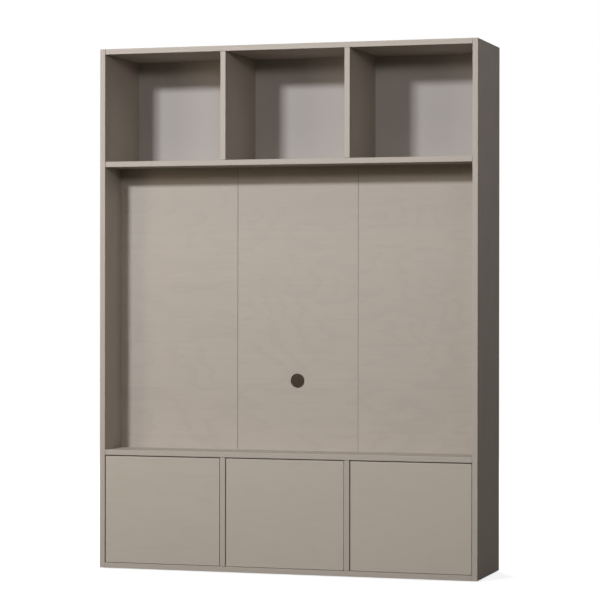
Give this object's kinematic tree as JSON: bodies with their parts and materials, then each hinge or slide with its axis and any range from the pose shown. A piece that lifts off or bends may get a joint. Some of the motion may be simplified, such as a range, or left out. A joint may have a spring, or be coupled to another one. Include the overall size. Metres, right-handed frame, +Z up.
{
  "type": "tv cabinet",
  "caption": "Tall wall cabinet with open upper compartments, a set-back niche for a television with a cable space behind it, and flush push-to-open doors below a counter.",
  "frame": {"origin": "on the floor, at the centre of the footprint", "axes": "+Z up, the front with the doors faces -Y, +X to the right seen from the front"},
  "size_m": [1.6, 0.4, 2.15],
  "materials": {
    "lacquered_boards": "matt lacquer over brushed softwood grain",
    "lacquered_doors": "matt lacquer over faint grain",
    "lacquered_backs": "matt lacquered thin board",
    "bare_beech": "fluted bare wood",
    "zinc_steel": "zinc plated",
    "zinc_cast": "die-cast zinc",
    "nickel_steel": "nickel plated",
    "pin_steel": "ground",
    "grey_plastic": "moulded",
    "plunger_plastic": "moulded",
    "glide_plastic": "moulded",
    "magnet": "sintered"
  },
  "bodies": {
    "cabinet": {"back_panel_screws": "zinc_steel", "bottom_panel": "lacquered_boards", "cam_bolts": "zinc_steel", "cam_locks": "zinc_cast", "connecting_screws": "zinc_steel", "counter_panel": "lacquered_boards", "floor_glides": "glide_plastic", "hinge_adjusting_screws": "nickel_steel", "hinge_arms": "nickel_steel", "hinge_plate_screws": "nickel_steel", "hinge_plates": "nickel_steel", "latch_cartridges": "grey_plastic", "latch_holder_screws": "zinc_steel", "latch_holders": "grey_plastic", "lower_back_panel": "lacquered_backs", "lower_divider_left": "lacquered_boards", "lower_divider_right": "lacquered_boards", "niche_bracket_screws": "zinc_steel", "niche_brackets": "zinc_steel", "niche_panel_left": "lacquered_boards", "niche_panel_middle": "lacquered_boards", "niche_panel_right": "lacquered_boards", "niche_rib_left": "lacquered_boards", "niche_rib_right": "lacquered_boards", "rear_rail_lower": "lacquered_boards", "rear_rail_upper": "lacquered_boards", "side_panel_left": "lacquered_boards", "side_panel_right": "lacquered_boards", "top_panel": "lacquered_boards", "upper_back_panel": "lacquered_backs", "upper_divider_left": "lacquered_boards", "upper_divider_right": "lacquered_boards", "upper_shelf": "lacquered_boards", "wall_bracket_screws": "zinc_steel", "wall_brackets": "zinc_steel", "wood_dowels": "bare_beech"},
    "door_left": {"door_left": "lacquered_doors", "hinge_cups_left": "nickel_steel", "hinge_pins_left": "pin_steel", "hinge_cup_screws_left": "nickel_steel", "strike_plate_left": "zinc_steel", "strike_screws_left": "zinc_steel"},
    "plunger_left": {"latch_plunger_left": "plunger_plastic", "latch_magnet_left": "magnet"},
    "door_middle": {"door_middle": "lacquered_doors", "hinge_cups_middle": "nickel_steel", "hinge_pins_middle": "pin_steel", "hinge_cup_screws_middle": "nickel_steel", "strike_plate_middle": "zinc_steel", "strike_screws_middle": "zinc_steel"},
    "plunger_middle": {"latch_plunger_middle": "plunger_plastic", "latch_magnet_middle": "magnet"},
    "door_right": {"door_right": "lacquered_doors", "hinge_cups_right": "nickel_steel", "hinge_pins_right": "pin_steel", "hinge_cup_screws_right": "nickel_steel", "strike_plate_right": "zinc_steel", "strike_screws_right": "zinc_steel"},
    "plunger_right": {"latch_plunger_right": "plunger_plastic", "latch_magnet_right": "magnet"}
  },
  "joints": [
    {"name": "door_left_hinge", "type": "hinge", "parent": "cabinet", "child": "door_left", "pos_m": [-0.76, -0.1905, 0.248], "axis": [0, 0, -1], "range_deg": [0, 100]},
    {"name": "latch_left_plunger", "type": "slide", "parent": "cabinet", "child": "plunger_left", "axis": [0, -1, 0], "range_m": [0, 0.014]},
    {"name": "door_middle_hinge", "type": "hinge", "parent": "cabinet", "child": "door_middle", "pos_m": [-0.234, -0.1905, 0.248], "axis": [0, 0, -1], "range_deg": [0, 100]},
    {"name": "latch_middle_plunger", "type": "slide", "parent": "cabinet", "child": "plunger_middle", "axis": [0, -1, 0], "range_m": [0, 0.014]},
    {"name": "door_right_hinge", "type": "hinge", "parent": "cabinet", "child": "door_right", "pos_m": [0.292, -0.1905, 0.248], "axis": [0, 0, -1], "range_deg": [0, 100]},
    {"name": "latch_right_plunger", "type": "slide", "parent": "cabinet", "child": "plunger_right", "axis": [0, -1, 0], "range_m": [0, 0.014]}
  ],
  "couplings": [
    {"joint": "latch_left_plunger", "follows": "door_left_hinge", "m_per_rad": 0.008},
    {"joint": "latch_middle_plunger", "follows": "door_middle_hinge", "m_per_rad": 0.008},
    {"joint": "latch_right_plunger", "follows": "door_right_hinge", "m_per_rad": 0.008}
  ]
}
